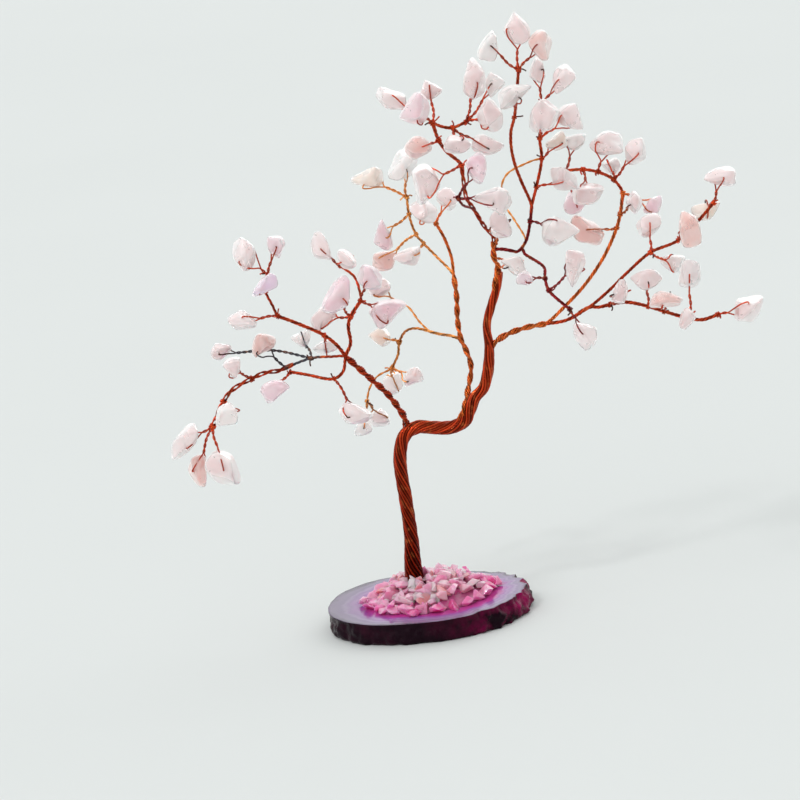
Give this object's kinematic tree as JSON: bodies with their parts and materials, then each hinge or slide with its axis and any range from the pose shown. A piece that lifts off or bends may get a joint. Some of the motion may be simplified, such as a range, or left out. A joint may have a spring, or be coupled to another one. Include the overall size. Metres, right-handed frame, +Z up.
{
  "type": "gemstone tree ornament",
  "caption": "Free-standing wire tree: a twisted copper trunk and bendable limbs carry drilled rose-quartz chips above a crushed-quartz mound glued to a polished dyed agate slice.",
  "frame": {"origin": "middle of the agate slice's flat underside", "axes": "+Z up, +X to the right and +Y to the back as the tree is seen from the front"},
  "size_m": [0.1687, 0.064, 0.1679],
  "materials": {
    "agate": "polished dyed agate, banded, with a rough dark rind",
    "glue": "clear resin",
    "crushed_quartz": "broken facets, glassy",
    "copper": "bright to browned copper wire",
    "rose_quartz": "tumbled and polished, milky translucent"
  },
  "bodies": {
    "base_and_trunk": {"agate_slice": "agate", "glue_bed": "glue", "neck_chips": "rose_quartz", "neck_stems": "copper", "neck_twigs": "copper", "quartz_crest": "crushed_quartz", "quartz_inner_ring": "crushed_quartz", "quartz_middle_ring": "crushed_quartz", "quartz_outer_ring": "crushed_quartz", "trunk_foot": "copper", "trunk_lower": "copper", "trunk_sideways": "copper", "trunk_top": "copper", "trunk_upper": "copper"},
    "left_limb": {"left_limb_chips": "rose_quartz", "left_limb_stems": "copper", "left_limb_twigs": "copper"},
    "left_drop": {"left_drop_chips": "rose_quartz", "left_drop_stems": "copper", "left_drop_twigs": "copper"},
    "centre_limb": {"centre_limb_chips": "rose_quartz", "centre_limb_stems": "copper", "centre_limb_twigs": "copper"},
    "back_branch": {"back_branch_chips": "rose_quartz", "back_branch_stems": "copper", "back_branch_twigs": "copper"},
    "right_limb": {"right_limb_chips": "rose_quartz", "right_limb_stems": "copper", "right_limb_twigs": "copper"},
    "right_sprig": {"right_sprig_chips": "rose_quartz", "right_sprig_stems": "copper", "right_sprig_twigs": "copper"},
    "crown_left": {"crown_left_chips": "rose_quartz", "crown_left_stems": "copper", "crown_left_twigs": "copper"},
    "crown_top": {"crown_top_chips": "rose_quartz", "crown_top_stems": "copper", "crown_top_twigs": "copper"},
    "crown_front": {"crown_front_chips": "rose_quartz", "crown_front_stems": "copper", "crown_front_twigs": "copper"}
  },
  "joints": [
    {"name": "left_limb_bend", "type": "hinge", "parent": "base_and_trunk", "child": "left_limb", "pos_m": [-0.0002, 0, 0.05806], "axis": [0, 1, 0], "range_deg": [-12, 12]},
    {"name": "left_drop_bend", "type": "hinge", "parent": "left_limb", "child": "left_drop", "pos_m": [-0.03292, -0.0065, 0.07826], "axis": [0, 1, 0], "range_deg": [-20, 20]},
    {"name": "centre_limb_bend", "type": "hinge", "parent": "base_and_trunk", "child": "centre_limb", "pos_m": [0.01873, 0.0024, 0.0627], "axis": [0, 1, 0], "range_deg": [-8, 8]},
    {"name": "back_branch_bend", "type": "hinge", "parent": "centre_limb", "child": "back_branch", "pos_m": [0.01684, 0.0104, 0.07748], "axis": [0, 1, 0], "range_deg": [-12, 2]},
    {"name": "right_limb_bend", "type": "hinge", "parent": "base_and_trunk", "child": "right_limb", "pos_m": [0.02941, 0, 0.07744], "axis": [0, 1, 0], "range_deg": [-8, 8]},
    {"name": "right_sprig_bend", "type": "hinge", "parent": "right_limb", "child": "right_sprig", "pos_m": [0.05823, -0.0008, 0.08298], "axis": [0, 1, 0], "range_deg": [0, 16]},
    {"name": "crown_left_bend", "type": "hinge", "parent": "base_and_trunk", "child": "crown_left", "pos_m": [0.03132, -0.0004, 0.1067], "axis": [0, 1, 0], "range_deg": [-8, 8]},
    {"name": "crown_top_bend", "type": "hinge", "parent": "base_and_trunk", "child": "crown_top", "pos_m": [0.03743, -0.0014, 0.10185], "axis": [0, 1, 0], "range_deg": [-8, 8]},
    {"name": "crown_front_bend", "type": "hinge", "parent": "crown_top", "child": "crown_front", "pos_m": [0.03923, -0.0029, 0.10136], "axis": [0, 1, 0], "range_deg": [-15, 15]}
  ]
}
